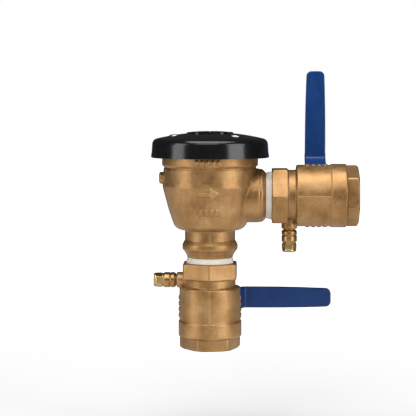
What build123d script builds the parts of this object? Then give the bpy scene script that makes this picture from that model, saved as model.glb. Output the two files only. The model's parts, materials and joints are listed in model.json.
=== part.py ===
from build123d import *
import os

# Pressure vacuum breaker, 1 inch size, in millimetres.
# The origin is the centre of the inlet port's end face. +Z runs up the inlet axis,
# +X towards the outlet, and both levers are on the +Y side.

# ---- Driving dimensions ----

RUNNING_GAP = 0.05          # radial clearance of a moving or fitted pair

PIPE_THREAD_R = 15.73       # pitch radius of 1 inch taper pipe thread
MALE_THREAD_R = 15.65
WATERWAY_R = 12.5
JOINT_ENGAGEMENT = 10.5     # how far a male end enters an inner hexagon

VALVE_LENGTH = 67.0
HEX_ACROSS_FLATS = 41.3
INNER_HEX_LENGTH = 12.1
NECK_R = 19.8
NECK_END = 18.9
BARREL_R = 23.8
BAND_R = 24.5
BAND_START = 45.7
BAND_END = 57.6
END_HEX_TURN = 22.0         # turn of the end hexagon against the inner one, degrees
PORT_THREAD_DEPTH = 12.5
INNER_THREAD_DEPTH = 11.0

STEM_AT = 36.0              # stem axis, from the inner hexagon's face
BALL_R = 18.0
BALL_CAVITY_R = 18.6
CAP_SPIGOT_R = 20.4
SEAT_OUTER_R = 17.5
SEAT_INNER_R = 12.6
SEAT_NEAR = 11.3            # a seat ring's two faces, measured from the ball's centre
SEAT_FAR = 14.7
SEAT_POCKET = 12.7          # where the pocket that holds a seat ring opens

STEM_R = 4.75
STEM_SHOULDER_R = 6.4
STEM_SHOULDER_BASE = 18.7
STEM_SHOULDER_TOP = 20.9
STEM_FLATS = 6.4            # across the two flats at the handle end
TANG_BASE = 14.9
TANG_WIDTH = 4.9
BALL_SLOT_FLOOR = 14.7
BALL_SLOT_WIDTH = 5.0
STEM_END_R = 4.0
STEM_TOP = 46.2
BOSS_R = 10.0
BOSS_TOP = 29.5
PACKING_R = 6.95
PACKING_BASE = 24.6
PACKING_TOP = 27.0
PACKING_NUT_TOP = 33.0
PACKING_NUT_FLATS = 17.0

LEVER_THICKNESS = 2.5
LEVER_BASE = 34.7
LEVER_REACH = 96.6          # steel strip only; the grip adds its own thickness
LEVER_HUB_R = 10.0
LEVER_ROOT_HALF = 7.95      # half widths over the grip, at the hub, half way and at the tip
LEVER_MIDDLE_HALF = 8.3
LEVER_TIP_HALF = 7.2
LEVER_BEND_START = 15.5
LEVER_BEND_END = 25.0
GRIP_PLANE = 63.0           # height of the strip's mid plane at the grip
GRIP_THICKNESS = 1.2
GRIP_START = 20.5
LEVER_WASHER_R = 8.0
LEVER_WASHER_THICKNESS = 1.2
LEVER_NUT_FLATS = 13.0
LEVER_NUT_THICKNESS = 6.5
EAR_WIDTH = 4.5             # a cast stop ear, square in plan
EAR_REACH = 13.0            # from the stem axis to an ear's middle, along the stopped lever
EAR_FACE = 7.6              # from the stem axis to the face that the lever's edge meets

COCK_AT = 13.6              # test cock axis, from the inner hexagon's face
COCK_BOSS_R = 5.9
COCK_BOSS_END = 25.9
COCK_THREAD_R = 4.85
COCK_THREAD_START = 20.6
COCK_BODY_START = 27.3
COCK_BODY_END = 37.5
COCK_BODY_R = 5.7
COCK_FLARE_R = 3.4
COCK_FLARE_END = 42.0
COCK_CAP_END = 43.8
COCK_BORE_R = 1.5
COCK_PLUG_R = 2.6
COCK_PLUG_AT = 32.4

INLET_JOINT_Z = VALVE_LENGTH
NECK_SHOULDER_Z = 71.5
BOWL_BASE_Z = 93.5
CHECK_SEAT_Z = 104.0
BODY_TOP_Z = 152.0
BONNET_R = 33.0
BONNET_BASE_Z = 137.0
BONNET_TOP_Z = 150.0
OUTLET_Z = 120.0
OUTLET_SHOULDER_X = 43.5
OUTLET_JOINT_X = 48.4
OUTLET_BOSS_R = 20.9

CANOPY_R = 45.8
CANOPY_TOP_R = 44.9
CANOPY_BASE_Z = 150.0
CANOPY_SHOULDER_Z = 163.6
CANOPY_APEX_Z = 169.4
CANOPY_WALL = 2.5
SCREW_CIRCLE_R = 27.7
SCREW_ANGLES = (75.0, 195.0, 315.0)
SCREW_SEAT_Z = 165.7
SCREW_HEAD_R = 4.6
SCREW_SHANK_R = 2.0
SCREW_TIP_Z = 153.0
POST_TOP_Z = 162.5

AIR_POPPET_BASE_Z = 125.5
AIR_SEAT_Z = 136.0
AIR_SEAL_TOP_Z = 131.0
AIR_PLATE_R = 20.0
AIR_PLATE_TOP_Z = 128.5
AIR_STEM_R = 3.5
AIR_STEM_TOP_Z = 149.0
AIR_HUB_BASE_Z = 141.0
CHECK_STEM_R = 3.0
CHECK_STEM_TOP_Z = 118.8
CHECK_HUB_R = 5.0
CHECK_PLATE_R = 16.8
CHECK_PLATE_BASE_Z = 106.5
CHECK_PLATE_TOP_Z = 109.0
GUIDE_RING_BASE_Z = 134.0
GUIDE_TUBE_R = 5.0
GUIDE_TUBE_BASE_Z = 115.5
GUIDE_TUBE_FLOOR_Z = 124.0
GUIDE_ARM_BASE_Z = 121.5
GUIDE_ARM_TOP_Z = 125.4


# ---- Small shape builders ----

def lathe(*corners):
    """Turn a closed outline about +Z. A corner is (radius, height) or (radius, height, rounding)."""
    points = [corner[:2] for corner in corners]
    roundings = [corner[2] if len(corner) > 2 else 0.0 for corner in corners]
    outline = FilletPolyline(*points, radius=roundings, close=True)
    return revolve(Plane.XZ * make_face(outline), Axis.Z)


def rod(radius, base, top):
    """A solid cylinder on the Z axis between two heights."""
    return Pos(0, 0, (base + top) / 2) * Cylinder(radius, top - base)


def tube(outer, inner, base, top):
    """A hollow cylinder on the Z axis between two heights."""
    return rod(outer, base, top) - rod(inner, base - 1, top + 1)


def hexagon(across_flats, base, top, turn=0.0, corner=0.8):
    """A hexagonal prism on the Z axis with softened long edges."""
    outline = RegularPolygon(across_flats / 2, 6, major_radius=False, rotation=turn)
    outline = fillet(outline.vertices(), corner)
    return extrude(Pos(0, 0, base) * outline, top - base)


def hex_with_bevels(across_flats, base, top, turn, bevel_base, bevel_top, corner=1.2):
    """A hexagonal prism whose corners are turned off at the two ends."""
    corner_r = across_flats / 2 * 1.1547
    turned = lathe(
        (0, base),
        (corner_r - bevel_base, base),
        (corner_r, base + bevel_base * 0.6),
        (corner_r, top - bevel_top * 0.6),
        (corner_r - bevel_top, top),
        (0, top),
    )
    return hexagon(across_flats, base, top, turn, corner) & turned


def double_d(radius, flats, base, top):
    """A round bar with two flats, on the Z axis."""
    return rod(radius, base, top) & Pos(0, 0, (base + top) / 2) * Box(flats, 4 * radius, top - base)


def coil_spring(mean_r, wire_r, base, top, turns):
    """A compression spring on the Z axis; its wire stays between the two heights."""
    height = top - base - 2 * wire_r
    path = Pos(0, 0, base + wire_r) * Helix(height / turns, height, mean_r)
    section = Plane(origin=path @ 0, z_dir=path % 0) * Circle(wire_r)
    return sweep(section, path=path)


def save(name, shape):
    """Write one named piece."""
    export_step(shape, "parts/" + name + ".step")


# ---- Ball valve, in its own frame ----
# The waterway is the Z axis, from the inner hexagon's face at z = 0 to the port's end face.
# The stem points to +Y, the test cock to +X, and the closed lever to -X.

ON_STEM = Pos(0, 0, STEM_AT) * Rot(-90, 0, 0)       # turns a piece built on +Z to stand on +Y
ON_COCK = Pos(0, 0, COCK_AT) * Rot(0, 90, 0)        # turns a piece built on +Z to lie on +X


def stop_lug(x, z):
    """One cast ear that the lever's edge comes up against."""
    foot = BARREL_R - 6
    top = LEVER_BASE + LEVER_THICKNESS
    ear = Pos(x, (foot + top) / 2, z) * Box(EAR_WIDTH, top - foot, EAR_WIDTH)
    return fillet(ear.edges().filter_by(Axis.Y), 1.0)


def valve_body():
    """The casting: inner hexagon, neck, barrel, band, stem boss, stop ears and test cock boss."""
    body = lathe(
        (0, 1),
        (NECK_R, 1),
        (NECK_R, NECK_END, 1.4),
        (BARREL_R, NECK_END, 1.0),
        (BARREL_R, BAND_START - 0.6),
        (BAND_R, BAND_START + 0.4, 0.4),
        (BAND_R, BAND_END, 0.9),
        (0, BAND_END),
    )
    body += hex_with_bevels(HEX_ACROSS_FLATS, 0, INNER_HEX_LENGTH, 30, 1.4, 1.1)
    body += ON_STEM * lathe((0, 0), (BOSS_R, 0), (BOSS_R, BOSS_TOP, 0.8), (0, BOSS_TOP))
    boss_start = WATERWAY_R + 1.5
    body += ON_COCK * lathe(
        (0, boss_start),
        (COCK_BOSS_R, boss_start),
        (COCK_BOSS_R, COCK_BOSS_END, 0.8),
        (0, COCK_BOSS_END),
    )
    ear_side = EAR_FACE + EAR_WIDTH / 2
    body += stop_lug(-EAR_REACH, STEM_AT - ear_side)
    body += stop_lug(ear_side, STEM_AT + EAR_REACH)
    body -= rod(PIPE_THREAD_R, -1, INNER_THREAD_DEPTH)
    body -= rod(WATERWAY_R, 0, STEM_AT)
    body -= rod(SEAT_OUTER_R + RUNNING_GAP, STEM_AT - SEAT_FAR, STEM_AT)
    body -= rod(BALL_CAVITY_R, STEM_AT - SEAT_POCKET, BAND_END)
    body -= rod(CAP_SPIGOT_R + RUNNING_GAP, STEM_AT + SEAT_POCKET - 0.2, BAND_END + 1)
    body -= ON_STEM * rod(STEM_SHOULDER_R + RUNNING_GAP, 0, STEM_SHOULDER_TOP + RUNNING_GAP)
    body -= ON_STEM * rod(STEM_R + RUNNING_GAP, 0, BOSS_TOP)
    body -= ON_STEM * rod(PACKING_R + RUNNING_GAP, PACKING_BASE, BOSS_TOP + 1)
    body -= ON_COCK * rod(COCK_BORE_R, 0, COCK_BOSS_END)
    body -= ON_COCK * rod(COCK_THREAD_R + RUNNING_GAP, COCK_THREAD_START - 0.1, COCK_BOSS_END + 1)
    return body


def end_cap():
    """The threaded end piece: outer hexagon with the pipe port, and a spigot inside the barrel."""
    turn = 30 + END_HEX_TURN
    cap = hex_with_bevels(HEX_ACROSS_FLATS, BAND_END, VALVE_LENGTH, turn, 0.6, 2.2, 1.6)
    cap += rod(CAP_SPIGOT_R, STEM_AT + SEAT_POCKET, BAND_END)
    cap -= rod(PIPE_THREAD_R, VALVE_LENGTH - PORT_THREAD_DEPTH, VALVE_LENGTH + 1)
    cap -= rod(WATERWAY_R, STEM_AT, VALVE_LENGTH)
    cap -= rod(SEAT_OUTER_R + RUNNING_GAP, STEM_AT, STEM_AT + SEAT_FAR)
    return cap


def ball():
    """The ball, closed: its port lies along X and its stem slot is on +Y."""
    shape = Sphere(BALL_R) - Rot(0, 90, 0) * Cylinder(WATERWAY_R - 0.5, 3 * BALL_R)
    slot_height = 8.0
    shape -= Pos(0, BALL_SLOT_FLOOR + slot_height / 2, 0) * Box(14.0, slot_height, BALL_SLOT_WIDTH)
    return Pos(0, 0, STEM_AT) * shape


def seat_ring(side):
    """A plastic ring that the ball bears on; side is -1 for the inner and 1 for the outer."""
    ring = tube(SEAT_OUTER_R, SEAT_INNER_R, SEAT_NEAR, SEAT_FAR) - Sphere(BALL_R + RUNNING_GAP)
    turned = ring if side > 0 else Rot(180, 0, 0) * ring
    return Pos(0, 0, STEM_AT) * turned


def stem():
    """The blow-out-proof stem: tang, shoulder, shaft and flatted handle end."""
    shaft = rod(STEM_SHOULDER_R, STEM_SHOULDER_BASE, STEM_SHOULDER_TOP)
    shaft += rod(STEM_R, STEM_SHOULDER_TOP, LEVER_BASE)
    shaft += double_d(STEM_END_R, STEM_FLATS, LEVER_BASE, STEM_TOP)
    tang_middle = (TANG_BASE + STEM_SHOULDER_BASE) / 2
    tang = Pos(0, 0, tang_middle) * Box(10.0, TANG_WIDTH, STEM_SHOULDER_BASE - TANG_BASE)
    return ON_STEM * (shaft + (tang & rod(STEM_SHOULDER_R, TANG_BASE, STEM_SHOULDER_BASE)))


def stem_packing():
    """The plastic ring round the stem under the packing nut."""
    return ON_STEM * tube(PACKING_R, STEM_R + RUNNING_GAP, PACKING_BASE, PACKING_TOP)


def packing_nut():
    """The gland nut: a spigot in the boss and a hexagonal head on it."""
    nut = rod(PACKING_R, PACKING_TOP, BOSS_TOP)
    nut += hex_with_bevels(PACKING_NUT_FLATS, BOSS_TOP, PACKING_NUT_TOP, 0, 0.2, 0.8, 0.5)
    return ON_STEM * (nut - rod(STEM_R + RUNNING_GAP, PACKING_TOP - 1, PACKING_NUT_TOP + 1))


def lever_plan(inset):
    """The lever's outline along +X, seen down the stem, with sides that swell towards the middle."""
    tip = LEVER_REACH + GRIP_THICKNESS - inset
    root_half = LEVER_ROOT_HALF - inset
    middle_half = LEVER_MIDDLE_HALF - inset
    tip_half = LEVER_TIP_HALF - inset
    tip_corner = 4.2 - 0.5 * inset
    near_side = ThreePointArc((0, -root_half), (0.55 * tip, -middle_half), (tip, -tip_half))
    end_side = Line((tip, -tip_half), (tip, tip_half))
    far_side = ThreePointArc((tip, tip_half), (0.55 * tip, middle_half), (0, root_half))
    hub_side = Line((0, root_half), (0, -root_half))
    outline = make_face([near_side, end_side, far_side, hub_side])
    tip_corners = outline.vertices().sort_by(Axis.X)[-2:]
    return fillet(tip_corners, tip_corner)


def lever_band(thickness, start, inset, height_from):
    """The cranked strip of a given thickness, cut to its plan, from a distance off the stem."""
    hub_height = LEVER_BASE + LEVER_THICKNESS / 2
    route = FilletPolyline(
        (0, hub_height),
        (LEVER_BEND_START, hub_height),
        (LEVER_BEND_END, GRIP_PLANE),
        (LEVER_REACH + 5, GRIP_PLANE),
        radius=5.0,
    )
    side = extrude(trace(route, thickness), 20, both=True)
    plan = extrude(Plane.XZ * lever_plan(inset), 100, both=True)
    beyond = Pos(start + 100, 0, 0) * Box(200, 200, 40)
    below = Pos(0, height_from + 100, 0) * Box(400, 200, 40)
    return side & plan & beyond & below


def lever_strip():
    """The steel handle along +X in the stem's frame: round hub, crank and flat grip part."""
    strip = lever_band(LEVER_THICKNESS, 0, GRIP_THICKNESS, 0)
    hub = Rot(-90, 0, 0) * rod(LEVER_HUB_R, LEVER_BASE, LEVER_BASE + LEVER_THICKNESS)
    hole = double_d(STEM_END_R + RUNNING_GAP, STEM_FLATS + 2 * RUNNING_GAP, 20, 50)
    return strip + hub - Rot(-90, 0, 0) * hole


def lever_grip():
    """The dipped vinyl sleeve over the crank and the grip."""
    sleeve = lever_band(LEVER_THICKNESS + 2 * GRIP_THICKNESS, GRIP_START, 0, 42.0)
    return sleeve - lever_band(LEVER_THICKNESS, 0, GRIP_THICKNESS, 0)


CLOSED = Pos(0, 0, STEM_AT) * Rot(0, 180, 0)        # points the lever to -X on the stem axis


def lever_washer():
    """The flat washer on the lever's hub."""
    base = LEVER_BASE + LEVER_THICKNESS
    return ON_STEM * tube(LEVER_WASHER_R, STEM_END_R + 2 * RUNNING_GAP, base, base + LEVER_WASHER_THICKNESS)


def lever_nut():
    """The hexagonal nut that clamps the lever."""
    base = LEVER_BASE + LEVER_THICKNESS + LEVER_WASHER_THICKNESS
    nut = hex_with_bevels(LEVER_NUT_FLATS, base, base + LEVER_NUT_THICKNESS, 0, 0.6, 0.6, 0.4)
    return ON_STEM * (nut - rod(STEM_END_R + RUNNING_GAP, base - 1, base + 10))


def test_cock():
    """The test cock's body: threaded stub, waist, grooved barrel and flare end, with a cross hole."""
    cock = lathe(
        (0, COCK_THREAD_START),
        (COCK_THREAD_R, COCK_THREAD_START),
        (COCK_THREAD_R, COCK_BOSS_END),
        (4.2, COCK_BOSS_END + 0.4),
        (4.2, COCK_BODY_START - 0.4),
        (5.2, COCK_BODY_START),
        (COCK_BODY_R, COCK_BODY_START + 0.8),
        (COCK_BODY_R, 30.4),
        (5.2, 30.8),
        (5.2, 31.3),
        (COCK_BODY_R, 31.7),
        (COCK_BODY_R, 35.6),
        (4.9, 36.6),
        (4.9, COCK_BODY_END),
        (COCK_FLARE_R, COCK_BODY_END),
        (COCK_FLARE_R, COCK_FLARE_END),
        (0, COCK_FLARE_END),
    )
    cock -= rod(COCK_BORE_R, COCK_THREAD_START - 1, COCK_FLARE_END + 1)
    plug_hole = Rot(-90, 0, 0) * rod(COCK_PLUG_R + RUNNING_GAP, -4.3, 10)
    return ON_COCK * (cock - Pos(0, 0, COCK_PLUG_AT) * plug_hole)


def test_cock_stem():
    """The slotted quarter-turn plug across the test cock, closed."""
    plug = rod(COCK_PLUG_R, -4.2, 6.9) - Pos(0, 0, 6.9) * Box(6, 0.9, 2.4)
    plug -= Rot(0, 90, 0) * Cylinder(COCK_BORE_R, 8)
    return ON_COCK * Pos(0, 0, COCK_PLUG_AT) * Rot(-90, 0, 0) * plug


def test_cock_cap():
    """The bright dust cap on the flare end."""
    cap = hex_with_bevels(9.6, COCK_BODY_END, 41.8, 0, 0.3, 0.3, 0.5)
    cap += lathe((0, 41.8), (4.7, 41.8), (5.2, 42.3), (5.2, COCK_CAP_END, 0.7), (0, COCK_CAP_END))
    return ON_COCK * (cap - rod(COCK_FLARE_R + RUNNING_GAP, COCK_BODY_END - 1, COCK_FLARE_END + 0.3))


VALVE_PIECES = {
    "valve_body": valve_body(),
    "end_cap": end_cap(),
    "ball": ball(),
    "inner_seat": seat_ring(-1),
    "outer_seat": seat_ring(1),
    "stem": stem(),
    "stem_packing": stem_packing(),
    "packing_nut": packing_nut(),
    "lever": CLOSED * lever_strip(),
    "lever_grip": CLOSED * lever_grip(),
    "lever_washer": lever_washer(),
    "lever_nut": lever_nut(),
    "test_cock": test_cock(),
    "test_cock_stem": test_cock_stem(),
    "test_cock_cap": test_cock_cap(),
}

VALVE_PLACES = {
    "inlet": Pos(0, 0, INLET_JOINT_Z) * Rot(0, 180, 0),
    "outlet": Pos(OUTLET_JOINT_X, 0, OUTLET_Z) * Rot(0, 90, 0),
}


# ---- Body casting ----

def outlet_branch():
    """The boss, shoulder rings and male end of the outlet, built on +Z from the bowl's axis."""
    return lathe(
        (0, 20),
        (OUTLET_BOSS_R, 20),
        (OUTLET_BOSS_R, 38.2, 0.5),
        (20.3, 38.8),
        (20.3, 39.4),
        (20.6, 39.8),
        (20.2, 41.0),
        (18.2, 43.0),
        (17.4, OUTLET_SHOULDER_X),
        (MALE_THREAD_R, OUTLET_SHOULDER_X),
        (MALE_THREAD_R, OUTLET_JOINT_X + JOINT_ENGAGEMENT),
        (0, OUTLET_JOINT_X + JOINT_ENGAGEMENT),
    )


def body_casting():
    """Male end, beaded neck, flared bowl, collar, outlet branch and side lug, hollowed out."""
    outside = lathe(
        (0, INLET_JOINT_Z - JOINT_ENGAGEMENT),
        (MALE_THREAD_R, INLET_JOINT_Z - JOINT_ENGAGEMENT),
        (MALE_THREAD_R, NECK_SHOULDER_Z),
        (17.6, NECK_SHOULDER_Z),
        (17.9, 73.2),
        (19.9, 76.6, 1.5),
        (21.4, 78.2, 1.2),
        (21.4, 81.6, 2.0),
        (19.9, 84.4, 0.6),
        (19.4, 84.8, 0.6),
        (19.4, BOWL_BASE_Z, 1.0),
        (26.9, BOWL_BASE_Z, 7.5),
        (32.0, 108.5),
        (36.2, 124.3),
        (36.9, 127.6, 1.5),
        (36.3, 131.0, 3.0),
        (36.1, 140.8),
        (35.4, 141.8),
        (35.9, 142.9),
        (37.2, 143.6, 0.5),
        (37.2, BODY_TOP_Z, 0.8),
        (0, BODY_TOP_Z),
    )
    outlet = Pos(0, 0, OUTLET_Z) * Rot(0, 90, 0)
    lug = lathe((0, 28), (4.4, 28), (4.4, 39.5, 0.7), (0, 39.5))
    body = outside + outlet * outlet_branch() + Pos(0, 0, 133.6) * Rot(0, -90, 0) * lug
    chamber = lathe(
        (0, 99.0),
        (21.5, 99.0, 4.0),
        (27.0, 106.0),
        (31.0, 124.0),
        (31.0, BONNET_BASE_Z),
        (BONNET_R + RUNNING_GAP, BONNET_BASE_Z),
        (BONNET_R + RUNNING_GAP, BODY_TOP_Z + 1),
        (0, BODY_TOP_Z + 1),
    )
    seat = lathe((0, 95), (18.0, 95), (15.8, CHECK_SEAT_Z - 0.6), (15.2, CHECK_SEAT_Z), (0, CHECK_SEAT_Z))
    body = body - chamber + seat
    body -= rod(WATERWAY_R, 50, CHECK_SEAT_Z + 1)
    return body - outlet * rod(WATERWAY_R, 22, 70)


def thread_tape(base, top):
    """Thread sealing tape bunched in the gap of a pipe joint, on the Z axis."""
    return lathe(
        (MALE_THREAD_R + RUNNING_GAP, base),
        (18.3, base),
        (17.5, top - 0.6, 0.4),
        (17.2, top),
        (MALE_THREAD_R + RUNNING_GAP, top),
    )


# ---- Bonnet and canopy ----

def around(shape, angles):
    """Copies of a shape built on +X, turned to each angle about Z."""
    return [Rot(0, 0, angle) * shape for angle in angles]


def bonnet():
    """The threaded ring that closes the bowl: air seat, stem guide on three spokes, three posts."""
    ring = lathe(
        (15.0, AIR_SEAT_Z),
        (17.0, AIR_SEAT_Z),
        (17.6, BONNET_BASE_Z),
        (BONNET_R, BONNET_BASE_Z),
        (BONNET_R, 139.0),
        (30.4, 139.0),
        (30.4, 141.7),
        (BONNET_R, 141.7),
        (BONNET_R, BONNET_TOP_Z, 0.6),
        (22.0, BONNET_TOP_Z),
        (15.0, 143.0),
    )
    hub = rod(6.5, AIR_HUB_BASE_Z, BONNET_TOP_Z)
    for spoke in around(Pos(13.5, 0, 146.0) * Box(21.0, 4.5, 6.0), (15.0, 135.0, 255.0)):
        hub += spoke
    at_screw = Pos(SCREW_CIRCLE_R, 0, 0)
    for post in around(at_screw * rod(5.0, BONNET_TOP_Z - 3, POST_TOP_Z), SCREW_ANGLES):
        ring += post
    screw_hole = rod(SCREW_SHANK_R + RUNNING_GAP, SCREW_TIP_Z - 1, POST_TOP_Z + 1)
    for hole in around(at_screw * screw_hole, SCREW_ANGLES):
        ring -= hole
    return ring + hub - rod(AIR_STEM_R + RUNNING_GAP, AIR_HUB_BASE_Z - 1, BONNET_TOP_Z + 1)


def bonnet_o_ring():
    """The O-ring in the bonnet's groove, a little flattened."""
    section = Pos(31.75, 140.35) * RectangleRounded(2.5, 2.5, 1.2)
    return revolve(Plane.XZ * section, Axis.Z)


def canopy_dome(inset, base):
    """The canopy's solid outline, set in by a wall thickness, from a base height up."""
    rim = (CANOPY_R - inset, base)
    shoulder = (CANOPY_TOP_R - inset, CANOPY_SHOULDER_Z - inset)
    apex = (0, CANOPY_APEX_Z - inset)
    crown = (0.5 * shoulder[0], apex[1] - 0.25 * (apex[1] - shoulder[1]))
    edges = [
        Line((0, base), rim),
        Line(rim, shoulder),
        ThreePointArc(shoulder, crown, apex),
        Line(apex, (0, base)),
    ]
    outline = make_face(edges)
    corner = outline.vertices().sort_by_distance(Vector(*shoulder, 0))[0]
    outline = fillet(corner, 4.6 - 0.6 * inset)
    return revolve(Plane.XZ * outline, Axis.Z)


def canopy():
    """The moulded cover: domed top, flared skirt and three screw bosses inside."""
    shell = canopy_dome(0, CANOPY_BASE_Z) - canopy_dome(CANOPY_WALL, CANOPY_BASE_Z - 1)
    at_screw = Pos(SCREW_CIRCLE_R, 0, 0)
    for boss in around(at_screw * rod(SCREW_HEAD_R + 2.0, POST_TOP_Z, SCREW_SEAT_Z), SCREW_ANGLES):
        shell += boss
    well = rod(SCREW_HEAD_R + 0.8, SCREW_SEAT_Z, CANOPY_APEX_Z + 1)
    shank_hole = rod(SCREW_SHANK_R + 0.3, POST_TOP_Z - 1, CANOPY_APEX_Z + 1)
    for opening in around(at_screw * (well + shank_hole), SCREW_ANGLES):
        shell -= opening
    return shell


def canopy_screws():
    """Three slotted pan-head screws."""
    head = lathe(
        (0, SCREW_SEAT_Z),
        (SCREW_HEAD_R, SCREW_SEAT_Z),
        (SCREW_HEAD_R, SCREW_SEAT_Z + 1.7, 1.2),
        (0, SCREW_SEAT_Z + 2.3),
    )
    slot = Pos(0, 0, SCREW_SEAT_Z + 2.2) * Box(12, 1.1, 1.8)
    screw = head - slot + rod(SCREW_SHANK_R, SCREW_TIP_Z, SCREW_SEAT_Z)
    return Compound(children=around(Pos(SCREW_CIRCLE_R, 0, 0) * screw, SCREW_ANGLES))


# ---- Air inlet and check ----

def air_poppet():
    """The float plate that shuts the air inlet, open: plate and guide stem."""
    plate = lathe(
        (0, AIR_POPPET_BASE_Z),
        (AIR_PLATE_R, AIR_POPPET_BASE_Z, 0.6),
        (AIR_PLATE_R, AIR_PLATE_TOP_Z),
        (0, AIR_PLATE_TOP_Z),
    )
    return plate + rod(AIR_STEM_R, AIR_PLATE_TOP_Z, AIR_STEM_TOP_Z)


def air_seal_disc():
    """The rubber disc on the air poppet."""
    hole = AIR_STEM_R + RUNNING_GAP
    return tube(AIR_PLATE_R - 1, hole, AIR_PLATE_TOP_Z, AIR_SEAL_TOP_Z)


def check_guide():
    """The plastic cage under the bonnet: clamped ring, three legs, three arms and a blind guide tube."""
    cage = tube(30.7, 24.0, GUIDE_RING_BASE_Z, BONNET_BASE_Z)
    cage += rod(GUIDE_TUBE_R, GUIDE_TUBE_BASE_Z, GUIDE_ARM_TOP_Z)
    arm_height = GUIDE_ARM_TOP_Z - GUIDE_ARM_BASE_Z
    arm = Pos(15.5, 0, GUIDE_ARM_BASE_Z + arm_height / 2) * Box(25, 4.5, arm_height)
    leg_height = GUIDE_RING_BASE_Z + 1 - GUIDE_ARM_BASE_Z
    leg = Pos(26.0, 0, GUIDE_ARM_BASE_Z + leg_height / 2) * Box(4.0, 4.5, leg_height)
    for limb in around(arm, (60.0, 180.0, 300.0)) + around(leg, (60.0, 180.0, 300.0)):
        cage += limb
    return cage - rod(CHECK_STEM_R + RUNNING_GAP, GUIDE_TUBE_BASE_Z - 1, GUIDE_TUBE_FLOOR_Z)


def check_poppet():
    """The spring-loaded check: plate over the seal, hub under it and guide stem above."""
    plate = lathe(
        (0, CHECK_PLATE_BASE_Z),
        (CHECK_PLATE_R, CHECK_PLATE_BASE_Z),
        (CHECK_PLATE_R, CHECK_PLATE_TOP_Z, 0.8),
        (0, CHECK_PLATE_TOP_Z),
    )
    hub = rod(CHECK_HUB_R, CHECK_SEAT_Z - 1, CHECK_PLATE_BASE_Z)
    return plate + hub + rod(CHECK_STEM_R, CHECK_PLATE_TOP_Z, CHECK_STEM_TOP_Z)


def check_seal_disc():
    """The rubber disc that shuts on the body's raised seat."""
    base = CHECK_SEAT_Z + RUNNING_GAP
    return tube(16.2, CHECK_HUB_R + RUNNING_GAP, base, CHECK_PLATE_BASE_Z)


# ---- Write every piece ----

for place_name, place in VALVE_PLACES.items():
    for piece_name, piece in VALVE_PIECES.items():
        save(place_name + "_" + piece_name, place * piece)

save("body_casting", body_casting())
save("inlet_thread_tape", thread_tape(INLET_JOINT_Z, NECK_SHOULDER_Z))
tape_on_outlet = Pos(OUTLET_JOINT_X, 0, OUTLET_Z) * Rot(0, -90, 0)
save("outlet_thread_tape", tape_on_outlet * thread_tape(0, OUTLET_JOINT_X - OUTLET_SHOULDER_X))
save("bonnet", bonnet())
save("bonnet_o_ring", bonnet_o_ring())
save("canopy", canopy())
save("canopy_screws", canopy_screws())
save("air_poppet", air_poppet())
save("air_seal_disc", air_seal_disc())
save("air_spring", coil_spring(5.2, 0.45, AIR_SEAL_TOP_Z, AIR_HUB_BASE_Z, 4.5))
save("check_guide", check_guide())
save("check_poppet", check_poppet())
save("check_seal_disc", check_seal_disc())
save("check_spring", coil_spring(6.4, 0.6, CHECK_PLATE_TOP_Z, GUIDE_ARM_BASE_Z, 4.5))
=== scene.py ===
import json
import math
import random

import bmesh
import bpy
from mathutils import Matrix, Vector, noise


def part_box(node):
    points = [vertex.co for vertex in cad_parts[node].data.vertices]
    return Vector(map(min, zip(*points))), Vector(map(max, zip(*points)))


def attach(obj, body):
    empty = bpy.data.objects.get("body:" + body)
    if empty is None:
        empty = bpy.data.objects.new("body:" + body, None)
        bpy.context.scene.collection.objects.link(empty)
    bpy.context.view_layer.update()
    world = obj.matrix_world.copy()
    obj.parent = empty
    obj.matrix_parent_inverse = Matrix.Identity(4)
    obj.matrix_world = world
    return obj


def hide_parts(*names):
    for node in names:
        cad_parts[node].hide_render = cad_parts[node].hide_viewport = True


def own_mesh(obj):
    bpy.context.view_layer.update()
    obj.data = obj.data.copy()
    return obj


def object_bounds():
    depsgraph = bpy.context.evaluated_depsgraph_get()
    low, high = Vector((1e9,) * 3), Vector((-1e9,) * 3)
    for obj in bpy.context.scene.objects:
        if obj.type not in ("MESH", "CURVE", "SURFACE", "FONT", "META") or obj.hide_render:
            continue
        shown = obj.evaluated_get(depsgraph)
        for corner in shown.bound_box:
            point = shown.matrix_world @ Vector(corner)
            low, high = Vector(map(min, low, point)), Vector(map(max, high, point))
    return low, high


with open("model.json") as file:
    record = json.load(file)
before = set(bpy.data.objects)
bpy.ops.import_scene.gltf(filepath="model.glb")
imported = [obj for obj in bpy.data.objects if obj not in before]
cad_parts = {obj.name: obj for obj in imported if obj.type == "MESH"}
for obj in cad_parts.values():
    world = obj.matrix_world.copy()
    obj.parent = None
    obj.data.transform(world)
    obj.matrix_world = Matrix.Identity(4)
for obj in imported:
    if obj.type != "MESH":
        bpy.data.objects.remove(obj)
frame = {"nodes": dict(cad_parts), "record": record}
CAD_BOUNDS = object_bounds()
MM = 0.001
TAU = 2 * math.pi
FRONT = -TAU / 4            # the angle about +Z that faces the camera


# ---- Places worked out from the frame ----

MOUNTS = {mount["name"]: Vector(mount["pos_m"]) for mount in frame["record"]["mounts"]}
OUTLET_Z = MOUNTS["outlet"].z
INLET_JOINT_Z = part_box("inlet_valve_body")[1].z
OUTLET_JOINT_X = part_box("outlet_valve_body")[0].x

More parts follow.
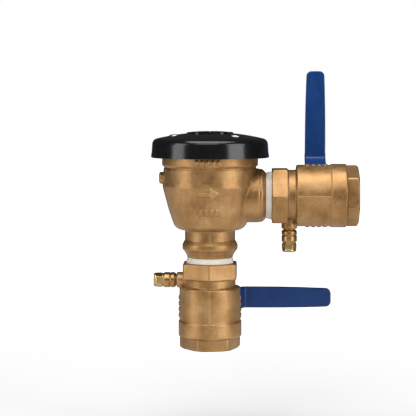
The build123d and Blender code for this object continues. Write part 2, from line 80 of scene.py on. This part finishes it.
# A valve's own frame: +Z from its inner hexagon to its port, +X towards its test cock.
VALVE_PLACES = {
    "inlet": Matrix.Translation((0, 0, INLET_JOINT_Z)) @ Matrix.Rotation(TAU / 2, 4, "Y"),
    "outlet": Matrix.Translation((OUTLET_JOINT_X, 0, OUTLET_Z)) @ Matrix.Rotation(TAU / 4, 4, "Y"),
}
BARREL_R = 23.8 * MM
BARREL_SPAN = (19.9 * MM, 45.0 * MM)
COLLAR_R = 37.2 * MM
NECK_R = 19.4 * MM
CROWN_R = 176.7 * MM        # the canopy's dome as a sphere
SEAM_HALF = 0.5 * MM        # half the width of a cast parting seam
SEAM_LIFT = 0.35 * MM
BAR_PITCH = 4.6 * MM        # the plain bars cast on the bowl and the barrels
BAR_WIDTH = 2.6 * MM
PORT_THREAD_R = 15.73 * MM
PORT_THREAD_PITCH = 25.4 / 11.5 * MM
TRIANGLE_BUDGET = 180000    # the most triangles in one softened casting


# ---- Node material helpers ----

# The colour sockets of a Mix node, by their place in its lists.
MIX_FIRST, MIX_SECOND, MIX_RESULT = 6, 7, 2


class Nodes:
    """A small builder for one node material."""

    def __init__(self, name):
        self.material = bpy.data.materials.new(name)
        self.material.use_nodes = True
        self.tree = self.material.node_tree
        self.shader = self.tree.nodes["Principled BSDF"]
        self.coords = self.tree.nodes.new("ShaderNodeTexCoord")

    def link(self, source, target):
        """Joins an output socket to an input socket."""
        self.tree.links.new(source, target)

    def noise(self, scale, detail=4.0, roughness=0.55, stretch=(1, 1, 1)):
        """Noise on object coordinates; scale is in cycles per metre."""
        mapping = self.tree.nodes.new("ShaderNodeMapping")
        mapping.inputs["Scale"].default_value = stretch
        self.link(self.coords.outputs["Object"], mapping.inputs["Vector"])
        node = self.tree.nodes.new("ShaderNodeTexNoise")
        node.inputs["Scale"].default_value = scale
        node.inputs["Detail"].default_value = detail
        node.inputs["Roughness"].default_value = roughness
        self.link(mapping.outputs["Vector"], node.inputs["Vector"])
        return node.outputs["Fac"]

    def edges(self):
        """High on worn convex edges, low in crevices (the mask for the painted crevice shade)."""
        return self.tree.nodes.new("ShaderNodeNewGeometry").outputs["Pointiness"]

    def ramp(self, source, *stops):
        """A colour ramp; each stop is (position, (r, g, b))."""
        node = self.tree.nodes.new("ShaderNodeValToRGB")
        elements = node.color_ramp.elements
        while len(elements) < len(stops):
            elements.new(0.5)
        for element, (position, colour) in zip(elements, stops):
            element.position = position
            element.color = (*colour, 1.0)
        self.link(source, node.inputs["Fac"])
        return node.outputs["Color"]

    def span(self, source, low, high):
        """The middle of the source's range mapped to low..high."""
        node = self.tree.nodes.new("ShaderNodeMapRange")
        node.inputs["From Min"].default_value = 0.3
        node.inputs["From Max"].default_value = 0.7
        node.inputs["To Min"].default_value = low
        node.inputs["To Max"].default_value = high
        self.link(source, node.inputs["Value"])
        return node.outputs["Result"]

    def multiply(self, first, second):
        """Two colours multiplied."""
        node = self.tree.nodes.new("ShaderNodeMix")
        node.data_type = "RGBA"
        node.blend_type = "MULTIPLY"
        node.inputs["Factor"].default_value = 1.0
        self.link(first, node.inputs[MIX_FIRST])
        self.link(second, node.inputs[MIX_SECOND])
        return node.outputs[MIX_RESULT]

    def bump(self, height, distance, strength, under=None):
        """A bump of a real depth in metres, on top of another if given."""
        node = self.tree.nodes.new("ShaderNodeBump")
        node.inputs["Distance"].default_value = distance
        node.inputs["Strength"].default_value = strength
        self.link(height, node.inputs["Height"])
        if under is not None:
            self.link(under, node.inputs["Normal"])
        return node.outputs["Normal"]

    def finish(self, colour, roughness, normal=None, **constants):
        """Connects the pattern sockets and sets the shader's own constants."""
        self.link(colour, self.shader.inputs["Base Color"])
        self.link(roughness, self.shader.inputs["Roughness"])
        if normal is not None:
            self.link(normal, self.shader.inputs["Normal"])
        for name, value in constants.items():
            self.shader.inputs[name.replace("_", " ")].default_value = value
        return self.material


# ---- Materials ----

def cast_bronze(name, dark, middle, light):
    """Blasted cast bronze: mottled tan metal, sandy grain, rubbed edges, and painted shade darkening
    the crevices.
    """
    nodes = Nodes(name)
    mottle = nodes.ramp(nodes.noise(60, 6), (0.30, dark), (0.50, middle), (0.72, light))
    fine = nodes.ramp(nodes.noise(1100, 3), (0.30, (0.78, 0.74, 0.68)), (0.70, (1.06, 1.06, 1.06)))
    patches = nodes.noise(26, 7, 0.7, (1, 1, 0.45))
    stain = nodes.ramp(patches, (0.36, (0.80, 0.77, 0.72)), (0.50, (1, 1, 1)))
    # Painted shade: low pointiness darkens the crevices to stand in for the shade that falls there;
    # the lighter rubbed edges are wear.
    crevice_shade, rubbed = (0.45, 0.40, 0.34), (1.25, 1.28, 1.3)
    crevice_shade_and_wear = nodes.ramp(nodes.edges(), (0.40, crevice_shade), (0.49, (1, 1, 1)), (0.56, rubbed))
    colour = nodes.multiply(nodes.multiply(nodes.multiply(mottle, fine), stain), crevice_shade_and_wear)
    roughness = nodes.span(nodes.noise(240, 4), 0.34, 0.50)
    grain = nodes.bump(nodes.noise(1500, 3), 0.00006, 0.8)
    swell = nodes.bump(nodes.noise(170, 3), 0.0003, 0.30, grain)
    return nodes.finish(colour, roughness, swell, Metallic=0.72)


def turned_metal(name, dark, light, rough_low, rough_high):
    """Machined or rolled metal with fine tool marks."""
    nodes = Nodes(name)
    colour = nodes.ramp(nodes.noise(160, 5), (0.3, dark), (0.7, light))
    roughness = nodes.span(nodes.noise(420, 4), rough_low, rough_high)
    normal = nodes.bump(nodes.noise(2200, 2), 0.00002, 0.5)
    return nodes.finish(colour, roughness, normal, Metallic=1.0)


def moulded(name, dark, light, rough_low, rough_high, depth=0.00002, **constants):
    """Moulded plastic, vinyl, tape or rubber with a faint skin texture."""
    nodes = Nodes(name)
    colour = nodes.ramp(nodes.noise(90, 4), (0.35, dark), (0.65, light))
    roughness = nodes.span(nodes.noise(300, 3), rough_low, rough_high)
    normal = nodes.bump(nodes.noise(1300, 2), depth, 0.5)
    return nodes.finish(colour, roughness, normal, **constants)


# A metal's two tones and its roughness range.
TURNED_METALS = {
    "machined_brass": ((0.40, 0.24, 0.095), (0.56, 0.37, 0.17), 0.25, 0.38),
    "cock_brass": ((0.27, 0.145, 0.052), (0.44, 0.26, 0.105), 0.28, 0.42),
    "bright_brass": ((0.42, 0.27, 0.10), (0.56, 0.39, 0.17), 0.20, 0.30),
    "chromed_brass": ((0.62, 0.62, 0.63), (0.76, 0.76, 0.77), 0.08, 0.16),
    "plated_steel": ((0.46, 0.47, 0.48), (0.62, 0.63, 0.64), 0.26, 0.42),
    "stainless_steel": ((0.34, 0.34, 0.34), (0.46, 0.46, 0.45), 0.20, 0.32),
}
# A soft material's two tones and its roughness range, then its own settings.
MOULDED = {
    "black_plastic": (
        ((0.004, 0.004, 0.0045), (0.007, 0.007, 0.0075), 0.15, 0.21),
        {"depth": 0.000004, "Specular_IOR_Level": 0.42},
    ),
    "grey_plastic": (((0.36, 0.37, 0.38), (0.46, 0.47, 0.48), 0.38, 0.5), {}),
    "blue_vinyl": (
        ((0.002, 0.026, 0.115), (0.004, 0.034, 0.145), 0.28, 0.38),
        {"Specular_IOR_Level": 0.30},
    ),
    "thread_tape": (((0.58, 0.53, 0.46), (0.70, 0.66, 0.59), 0.55, 0.75), {"depth": 0.0001}),
    "white_ptfe": (((0.72, 0.72, 0.70), (0.82, 0.82, 0.80), 0.4, 0.55), {}),
    "black_rubber": (((0.012, 0.012, 0.012), (0.022, 0.022, 0.022), 0.55, 0.7), {}),
}
BRONZE_TONES = ((0.25, 0.130, 0.044), (0.365, 0.205, 0.080), (0.46, 0.285, 0.130))

MATERIALS = {"cast_bronze": cast_bronze("cast_bronze", *BRONZE_TONES)}
MATERIALS.update({name: turned_metal(name, *look) for name, look in TURNED_METALS.items()})
MATERIALS.update({name: moulded(name, *look, **own) for name, (look, own) in MOULDED.items()})
NODE_SLOTS = {part["node"]: part["material_slot"] for part in frame["record"]["subparts"]}


def finish_cad_nodes():
    """Gives every CAD node that stays the material of its slot."""
    for name, obj in frame["nodes"].items():
        obj.data.materials.clear()
        obj.data.materials.append(MATERIALS[NODE_SLOTS[name]])


# ---- Mesh helpers ----

def add_piece(name, mesh, slot, body="body"):
    """Links a mesh as a piece with a slot's material, riding on a body."""
    mesh.materials.clear()
    mesh.materials.append(MATERIALS[slot])
    mesh.shade_smooth()
    piece = bpy.data.objects.new(name, mesh)
    bpy.context.collection.objects.link(piece)
    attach(piece, body)
    return piece


def mesh_from(bm, name):
    """A mesh made from a finished bmesh, with its faces turned outwards."""
    bmesh.ops.recalc_face_normals(bm, faces=bm.faces)
    mesh = bpy.data.meshes.new(name)
    bm.to_mesh(mesh)
    bm.free()
    return mesh


def raised_mark(bm, outline, surface, lift, sink):
    """A plate with the given (u, v) outline, wrapped on surface(u, v, height)."""
    top = [bm.verts.new(surface(u, v, lift)) for u, v in outline]
    bottom = [bm.verts.new(surface(u, v, -sink)) for u, v in outline]
    bm.faces.new(top)
    bm.faces.new(list(reversed(bottom)))
    count = len(outline)
    for i in range(count):
        j = (i + 1) % count
        bm.faces.new((top[j], top[i], bottom[i], bottom[j]))


def bar(centre_u, centre_v, width, height):
    """The outline of a small rectangle with clipped corners."""
    u, v = width / 2, height / 2
    clip_share = 0.35
    clip = min(u, v) * clip_share
    corners = [(u, v - clip), (u - clip, v), (clip - u, v), (-u, v - clip),
               (-u, clip - v), (clip - u, -v), (u - clip, -v), (u, clip - v)]
    return [(centre_u + a, centre_v + b) for a, b in corners]


def strip(u_from, u_to, v_from, v_to, steps):
    """The outline of a long thin rectangle, divided along v so that it can follow a curve."""
    up = [(u_to, v_from + (v_to - v_from) * i / steps) for i in range(steps + 1)]
    down = [(u_from, v) for _, v in reversed(up)]
    return up + down


def fused_copy(node, name, voxel, softening, add_marks=None, ripple=0.0):
    """Replaces a CAD node by a softened copy with rounded edges, with any marks fused on."""
    weld = 0.002 * MM
    bm = bmesh.new()
    bm.from_mesh(frame["nodes"][node].data)
    bmesh.ops.remove_doubles(bm, verts=bm.verts, dist=weld)
    if add_marks is not None:
        add_marks(bm)
    worker = bpy.data.objects.new(name + "_worker", mesh_from(bm, name))
    bpy.context.collection.objects.link(worker)
    fuse = worker.modifiers.new("fuse", "REMESH")
    fuse.mode = "VOXEL"
    fuse.voxel_size = voxel
    soften = worker.modifiers.new("soften", "SMOOTH")
    soften.factor = 0.5
    soften.iterations = softening
    mesh = evaluated_mesh(worker)
    triangles = 2 * len(mesh.polygons)
    if triangles > TRIANGLE_BUDGET:
        worker.modifiers.clear()
        worker.data = mesh
        thin = worker.modifiers.new("thin", "DECIMATE")
        thin.ratio = TRIANGLE_BUDGET / triangles
        mesh = evaluated_mesh(worker)
    bpy.data.objects.remove(worker)
    if ripple:
        push_ripple(mesh, ripple)
    piece = add_piece(name, mesh, NODE_SLOTS[node], body_of(node))
    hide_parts(node)


def evaluated_mesh(worker):
    """A new mesh holding what an object's modifiers make of it."""
    evaluated = worker.evaluated_get(bpy.context.evaluated_depsgraph_get())
    return bpy.data.meshes.new_from_object(evaluated)


def body_of(node):
    """The body that a CAD node belongs to."""
    bodies = frame["record"]["behaviour"]["bodies"]
    return next(body for body, members in bodies.items() if node in members)


def push_ripple(mesh, depth):
    """Moves each vertex in along its normal by two sizes of noise, as sand-cast skin does."""
    swells, pits = 240, 700     # cycles per metre
    normals = [vertex.normal.copy() for vertex in mesh.vertices]
    for vertex, normal in zip(mesh.vertices, normals):
        wave = noise.noise(vertex.co * swells) + 0.5 * noise.noise(vertex.co * pits)
        vertex.co -= normal * depth * (0.75 + 0.5 * wave)


# ---- Castings ----

def cylinder_surface(place, radius, facing):
    """u runs along a valve's axis and v round its barrel, from a facing angle."""
    def surface(u, v, height):
        angle = facing + v / radius
        reach = radius + height
        return place @ Vector((reach * math.cos(angle), reach * math.sin(angle), u))
    return surface


def bowl_surface(u, v, height):
    """u runs round the bowl from its front and v is the height; the wall flares upwards."""
    low_r, low_z = 32.0, 108.5
    widens, over = 4.2, 15.8
    radius = (low_r + (v / MM - low_z) * widens / over) * MM + height
    middle_r = 34 * MM
    angle = FRONT + u / middle_r
    return Vector((radius * math.cos(angle), radius * math.sin(angle), v))


def upright_surface(radius):
    """u runs round a vertical cylinder from its front and v is the height."""
    def surface(u, v, height):
        angle = FRONT + u / radius
        reach = radius + height
        return Vector((reach * math.cos(angle), reach * math.sin(angle), v))
    return surface


def body_marks(bm):
    """Generic cast marks: a flow arrow, a row of bars, collar ticks and the neck's parting seam."""
    arrow_z, bars_z, ticks_z = 122.5 * MM, 108.6 * MM, 147.0 * MM
    tick_pitch = 4.2 * MM
    tail, neck, tip = -7.5 * MM, 1.0 * MM, 8.0 * MM
    shaft, barb = 1.5 * MM, 5.0 * MM
    lower_half = [(tail, -shaft), (neck, -shaft), (neck, -barb)]
    upper_half = [(u, -v) for u, v in reversed(lower_half)]
    arrow = lower_half + [(tip, 0)] + upper_half
    arrow = [(u, v + arrow_z) for u, v in arrow]
    raised_mark(bm, arrow, bowl_surface, lift=1.1 * MM, sink=1.2 * MM)
    for i in range(4):
        outline = bar((i - 1.5) * BAR_PITCH, bars_z, width=BAR_WIDTH, height=5.0 * MM)
        raised_mark(bm, outline, bowl_surface, lift=1.0 * MM, sink=1.2 * MM)
    for i in range(5):
        outline = bar((i - 2.2) * tick_pitch, ticks_z, width=2.4 * MM, height=2.6 * MM)
        raised_mark(bm, outline, upright_surface(COLLAR_R), lift=1.0 * MM, sink=1.0 * MM)
    seam = strip(-SEAM_HALF, SEAM_HALF, 85.5 * MM, 92.5 * MM, steps=4)
    raised_mark(bm, seam, upright_surface(NECK_R), SEAM_LIFT, sink=1.0 * MM)


def valve_marks(place):
    """Generic cast bars on both sides of the barrel, and the parting seam along its front."""
    first_bar = 27.5 * MM

    def add(bm):
        for side in (0.0, TAU / 2):
            surface = cylinder_surface(place, BARREL_R, side)
            for i in range(4):
                outline = bar(first_bar + i * BAR_PITCH, 0.0, width=BAR_WIDTH, height=6.0 * MM)
                raised_mark(bm, outline, surface, lift=0.8 * MM, sink=1.0 * MM)
        front = cylinder_surface(place, BARREL_R, FRONT)
        seam = [(v, u) for u, v in strip(-SEAM_HALF, SEAM_HALF, *BARREL_SPAN, steps=4)]
        raised_mark(bm, seam, front, SEAM_LIFT, sink=1.0 * MM)
    return add


def build_castings():
    """The bowl body, both valve bodies and both end caps, softened as sand castings are."""
    fused_copy("body_casting", "bowl_body", voxel=0.5 * MM, softening=3,
               add_marks=body_marks, ripple=0.05 * MM)
    for side, place in VALVE_PLACES.items():
        fused_copy(side + "_valve_body", side + "_valve_casting", voxel=0.45 * MM, softening=3,
                   add_marks=valve_marks(place), ripple=0.04 * MM)
        fused_copy(side + "_end_cap", side + "_port_end", voxel=0.5 * MM, softening=2,
                   ripple=0.02 * MM)


# ---- Springs, small metal parts and grips ----

def build_springs():
    """Both coil springs as pieces with their own copies of the CAD meshes."""
    for node, joint in (("air_spring", "air_float_lift"), ("check_spring", "check_lift")):
        piece = add_piece(node + "_coil", frame["nodes"][node].data.copy(), NODE_SLOTS[node])
        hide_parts(node)
        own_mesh(piece)


def build_small_parts():
    """Levers, grips, nuts and test cocks with their edges eased."""
    for side in VALVE_PLACES:
        fused_copy(side + "_lever_grip", side + "_vinyl_grip", voxel=0.4 * MM, softening=8)
        fused_copy(side + "_lever", side + "_lever_strip", voxel=0.4 * MM, softening=2)
        fused_copy(side + "_test_cock", side + "_cock_barrel", voxel=0.25 * MM, softening=2)
        fused_copy(side + "_test_cock_cap", side + "_cock_cap", voxel=0.22 * MM, softening=2)
        fused_copy(side + "_lever_nut", side + "_handle_nut", voxel=0.3 * MM, softening=2)
        fused_copy(side + "_packing_nut", side + "_gland_nut", voxel=0.3 * MM, softening=2)


# ---- Port threads ----

def ring_point(radius, angle, height):
    """A point given by its distance from +Z, its angle about it and its height."""
    return Vector((radius * math.cos(angle), radius * math.sin(angle), height))


def port_thread(side, place):
    """The helical ridge of a pipe port, standing in from the bore's wall."""
    start, depth = -1.1 * MM, 10.4 * MM
    turns = depth / PORT_THREAD_PITCH
    steps_per_turn = 72
    steps = int(turns * steps_per_turn)
    run_out = 1 / 12            # the share of the ridge that fades in, and out again
    ridge = 1.15 * MM
    wall = PORT_THREAD_R + 0.12 * MM
    foot, flat = 0.95 * MM, 0.18 * MM
    bm = bmesh.new()
    rows = []
    for i in range(steps + 1):
        share = i / steps
        angle = share * turns * TAU
        along = start - share * depth
        fade = min(1.0, share / run_out, (1 - share) / run_out)
        crest = PORT_THREAD_R - ridge * fade
        section = [(wall, -foot), (crest, -flat), (crest, flat), (wall, foot)]
        points = [ring_point(r, angle, along + dz) for r, dz in section]
        rows.append([bm.verts.new(place @ point) for point in points])
    for first, second in zip(rows, rows[1:]):
        for i in range(4):
            j = (i + 1) % 4
            bm.faces.new((first[i], first[j], second[j], second[i]))
    bm.faces.new(rows[0])
    bm.faces.new(list(reversed(rows[-1])))
    name = side + "_port_thread"
    piece = add_piece(name, mesh_from(bm, name), "machined_brass")
    piece.data.shade_flat()


def build_threads():
    """Female pipe threads in both ports; each port's face is the mount's own place."""
    flip = Matrix.Rotation(TAU / 2, 4, "Y")
    turn = Matrix.Rotation(TAU / 4, 4, "Y")
    port_thread("inlet", Matrix.Translation(MOUNTS["inlet"]) @ flip)
    port_thread("outlet", Matrix.Translation(MOUNTS["outlet"]) @ turn)


# ---- Thread tape ----

def bunched_tape(node, name, place, length, seed):
    """White tape wound on a joint: overlapping edges, small wrinkles, wider at the hexagon."""
    rng = random.Random(seed)
    inner = 15.8 * MM
    wide, taper = 18.5 * MM, 0.7 * MM
    rim_drop = 0.35 * MM
    around_steps, along_steps = 180, 12
    steepness, step_share, skew = 60, 0.35, 0.10
    crease, around_waves, along_waves = 0.10 * MM, 9, 3
    edges = [(rng.uniform(0.1, 0.9), rng.uniform(0, TAU), rng.uniform(0.10, 0.22)) for _ in range(7)]
    angles = [TAU * i / around_steps for i in range(around_steps)]

    def outer_radius(angle, share):
        radius = wide - taper * share
        for at, phase, step in edges:
            edge = at + skew * math.sin(angle + phase)
            radius -= step * MM / (1 + math.exp(-(share - edge) * steepness)) * step_share
        wrinkle_at = ring_point(around_waves, angle, share * along_waves + seed)
        return radius + crease * noise.noise(wrinkle_at)

    bm = bmesh.new()
    rings = []
    for j in range(along_steps + 1):
        share = j / along_steps
        drop = rim_drop if j in (0, along_steps) else 0.0
        radii = [outer_radius(angle, share) - drop for angle in angles]
        points = [ring_point(radius, angle, share * length) for radius, angle in zip(radii, angles)]
        rings.append([bm.verts.new(place @ point) for point in points])
    for end in (length, 0.0):
        points = [ring_point(inner, angle, end) for angle in angles]
        rings.append([bm.verts.new(place @ point) for point in points])
    for first, second in zip(rings, rings[1:] + rings[:1]):
        for i in range(around_steps):
            j = (i + 1) % around_steps
            bm.faces.new((first[i], first[j], second[j], second[i]))
    piece = add_piece(name, mesh_from(bm, name), "thread_tape")
    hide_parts(node)


def build_tapes():
    """Both tape rings fill the gaps that their CAD nodes fill."""
    low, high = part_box("inlet_thread_tape")
    up = Matrix.Translation((0, 0, low.z))
    bunched_tape("inlet_thread_tape", "inlet_tape", up, high.z - low.z, 3)
    low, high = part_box("outlet_thread_tape")
    back = Matrix.Translation((high.x, 0, OUTLET_Z)) @ Matrix.Rotation(-TAU / 4, 4, "Y")
    bunched_tape("outlet_thread_tape", "outlet_tape", back, high.x - low.x, 8)


# ---- Canopy marks ----

def dome_surface(u, v, height):
    """u is an angle and v a radius on the canopy's shallow dome."""
    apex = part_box("canopy")[1].z
    drop = CROWN_R - math.sqrt(CROWN_R ** 2 - v ** 2)
    return Vector((v * math.cos(u), v * math.sin(u), apex - drop + height))


def build_canopy_marks():
    """Two rings of plain raised bars round the middle of the canopy."""
    half_share = 0.27           # half a bar's share of the room it has round its ring
    bm = bmesh.new()
    for count, near, far in ((22, 13.0 * MM, 18.0 * MM), (12, 6.5 * MM, 10.5 * MM)):
        for i in range(count):
            angle = TAU * (i + 0.5) / count
            half = half_share * TAU / count
            left, right = angle - half, angle + half
            outline = [(left, near), (left, far), (right, far), (right, near)]
            raised_mark(bm, outline, dome_surface, lift=0.8 * MM, sink=0.6 * MM)
    piece = add_piece("canopy_marks", mesh_from(bm, "canopy_marks"), "black_plastic")
    piece.data.shade_flat()


# ---- Studio ----

def build_floor():
    """A plain pale floor, low enough for the inlet lever to open over it."""
    half = 6.0
    lever_room = 0.085
    level = CAD_BOUNDS[0][2] - lever_room
    mesh = bpy.data.meshes.new("floor")
    corners = [(x * half, y * half, level) for x, y in ((-1, -1), (1, -1), (1, 1), (-1, 1))]
    mesh.from_pydata(corners, [], [(0, 1, 2, 3)])
    floor = bpy.data.objects.new("floor", mesh)
    bpy.context.collection.objects.link(floor)
    nodes = Nodes("pale_floor")
    colour = nodes.ramp(nodes.noise(3, 2), (0.3, (0.86, 0.86, 0.86)), (0.7, (0.90, 0.90, 0.90)))
    roughness = nodes.span(nodes.noise(5, 2), 0.75, 0.85)
    floor.data.materials.append(nodes.finish(colour, roughness))
    floor.is_shadow_catcher = True


def soft_box(name, place, target, size, power):
    """A rectangular area light aimed at a point."""
    data = bpy.data.lights.new(name, "AREA")
    data.shape = "RECTANGLE"
    data.size, data.size_y = size
    data.energy = power
    light = bpy.data.objects.new(name, data)
    light.location = place
    light.rotation_euler = (Vector(target) - Vector(place)).to_track_quat("-Z", "Y").to_euler()
    bpy.context.collection.objects.link(light)


def build_lights():
    """A white background that lights the object only softly, and four soft boxes."""
    world = bpy.data.worlds.new("studio")
    world.use_nodes = True
    tree = world.node_tree
    surround = tree.nodes["Background"]
    surround.inputs["Color"].default_value = (1.0, 1.0, 1.0, 1.0)
    surround.inputs["Strength"].default_value = 0.04
    backdrop = tree.nodes.new("ShaderNodeBackground")
    backdrop.inputs["Color"].default_value = (1.0, 1.0, 1.0, 1.0)
    backdrop.inputs["Strength"].default_value = 1.0
    path = tree.nodes.new("ShaderNodeLightPath")
    mix = tree.nodes.new("ShaderNodeMixShader")
    tree.links.new(path.outputs["Is Camera Ray"], mix.inputs["Fac"])
    tree.links.new(surround.outputs["Background"], mix.inputs[1])
    tree.links.new(backdrop.outputs["Background"], mix.inputs[2])
    tree.links.new(mix.outputs["Shader"], tree.nodes["World Output"].inputs["Surface"])
    bpy.context.scene.world = world
    middle = (0.04, 0.0, 0.11)
    soft_box("left", (-1.15, -0.60, 0.35), middle, size=(0.60, 1.2), power=9)
    soft_box("right", (1.10, -0.80, 0.35), middle, size=(0.80, 1.2), power=14)
    soft_box("front", (-0.10, -1.10, 1.10), middle, size=(1.0, 0.6), power=6)
    soft_box("top", (0.0, -0.28, 1.28), middle, size=(1.2, 0.8), power=16)


def build_camera():
    """The view from the front, a little above, with a long lens."""
    focal_px = 1400.0
    frame_px = 416.0
    data = bpy.data.cameras.new("camera")
    data.sensor_width = 36.0
    data.lens = focal_px / frame_px * data.sensor_width
    data.clip_end = 50.0
    camera = bpy.data.objects.new("camera", data)
    camera.location = (0.035, -1.092, 0.196)
    aim = Vector((-0.0016, 0.0, 0.110))
    camera.rotation_euler = (aim - camera.location).to_track_quat("-Z", "Y").to_euler()
    bpy.context.collection.objects.link(camera)
    bpy.context.scene.camera = camera


finish_cad_nodes()
build_castings()
build_springs()
build_small_parts()
build_threads()
build_tapes()
build_canopy_marks()
build_floor()
build_lights()
build_camera()
bpy.context.scene.view_settings.view_transform = "Standard"
